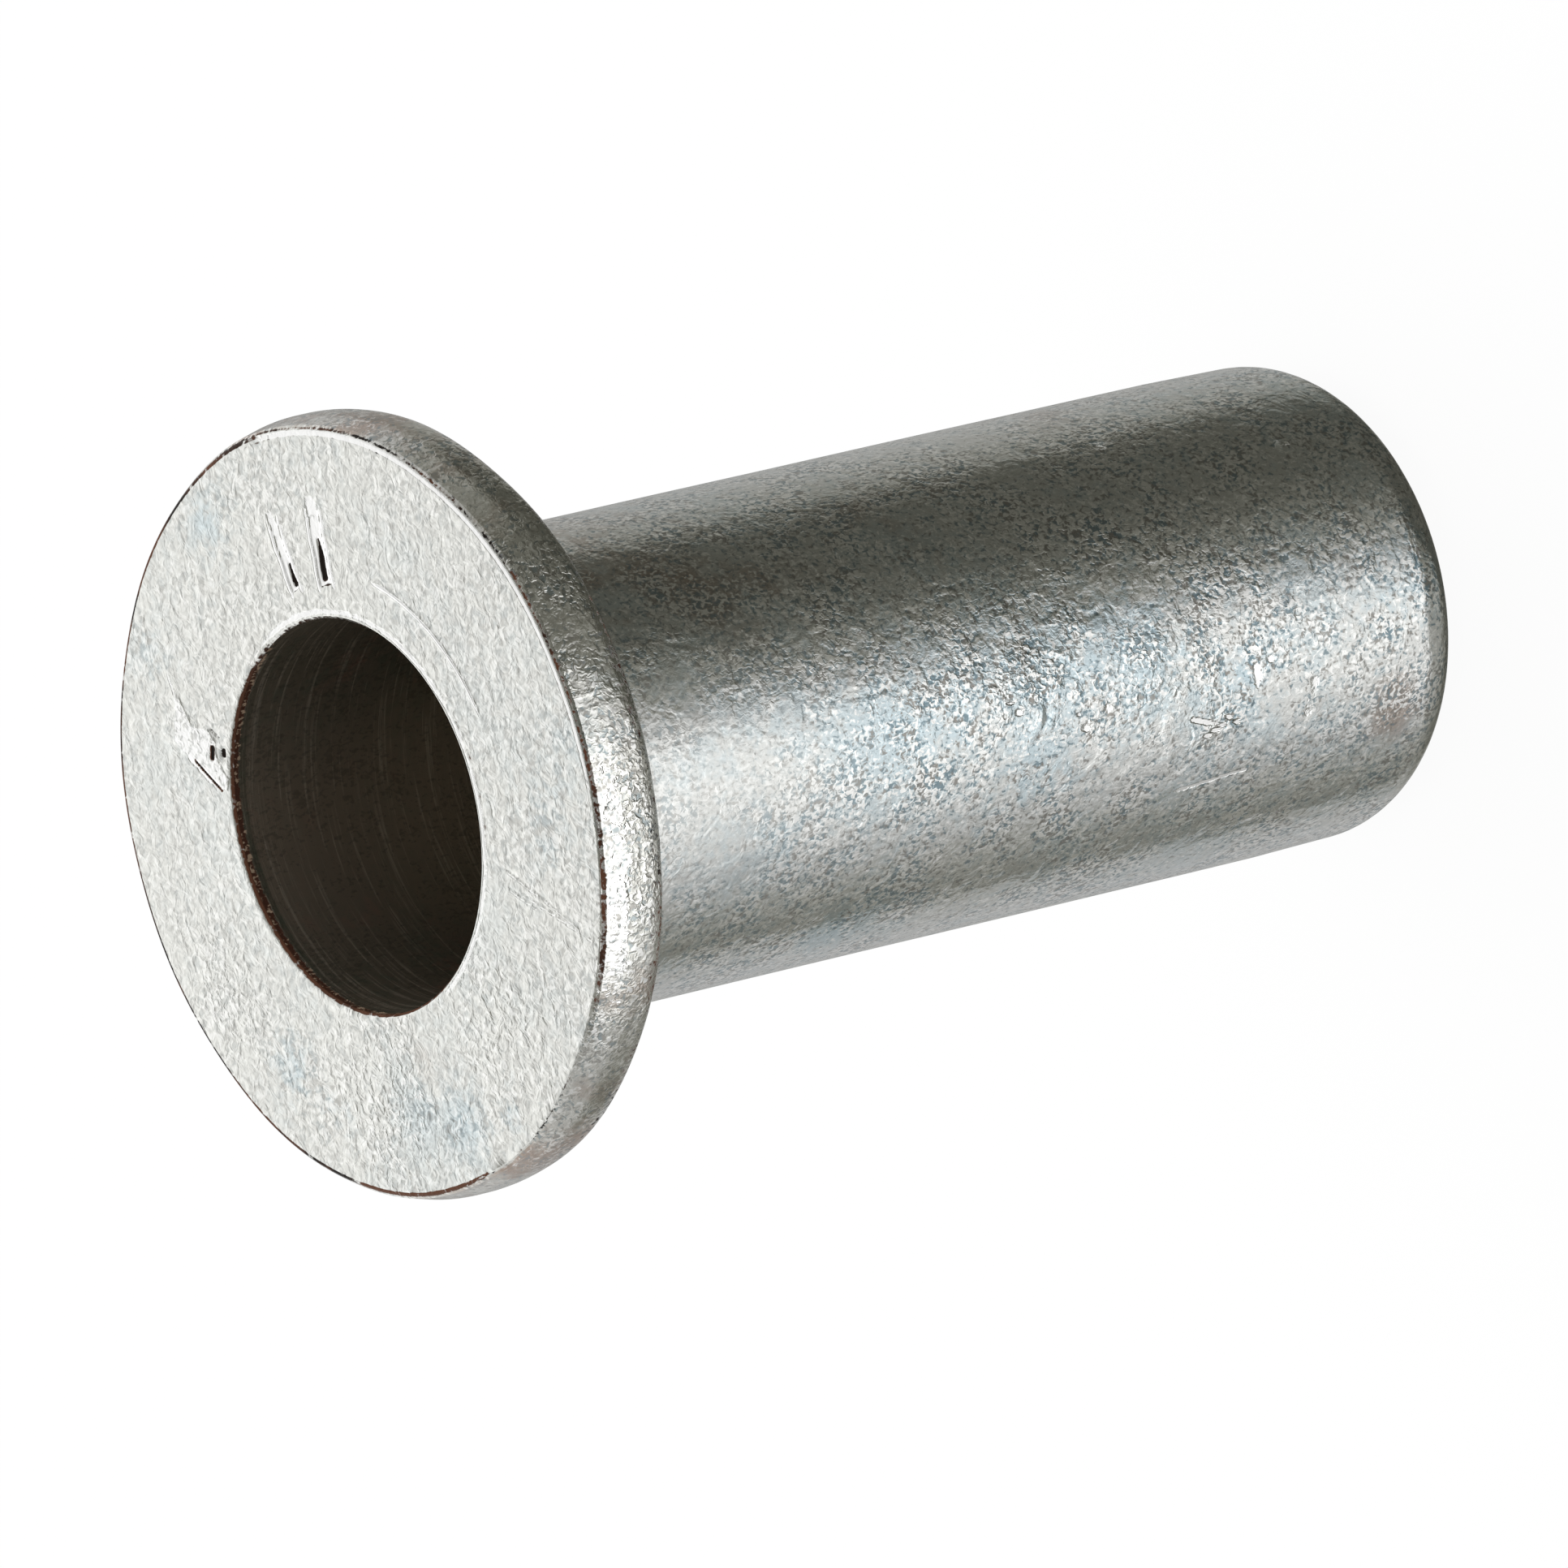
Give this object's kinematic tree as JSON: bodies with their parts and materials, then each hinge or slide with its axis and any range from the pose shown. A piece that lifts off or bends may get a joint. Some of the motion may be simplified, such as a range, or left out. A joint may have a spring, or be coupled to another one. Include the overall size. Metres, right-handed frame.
{
  "type": "rivet nut",
  "caption": "Closed-end rivet nut: flat round head, plain round shank with a thin folding wall, and a blind tapped hole.",
  "frame": {"origin": "centre of the closed end, at the bottom of the part", "axes": "+Z along the axis from the closed end to the head; X and Y are free on this round part"},
  "size_m": [0.0142, 0.0142, 0.0225],
  "materials": {
    "zinc_plated_steel": "bright zinc plate over formed steel, satin and finely grained, with a faint blue tint"
  },
  "bodies": {
    "root": {"rivet_nut_body": "zinc_plated_steel"}
  },
  "joints": []
}
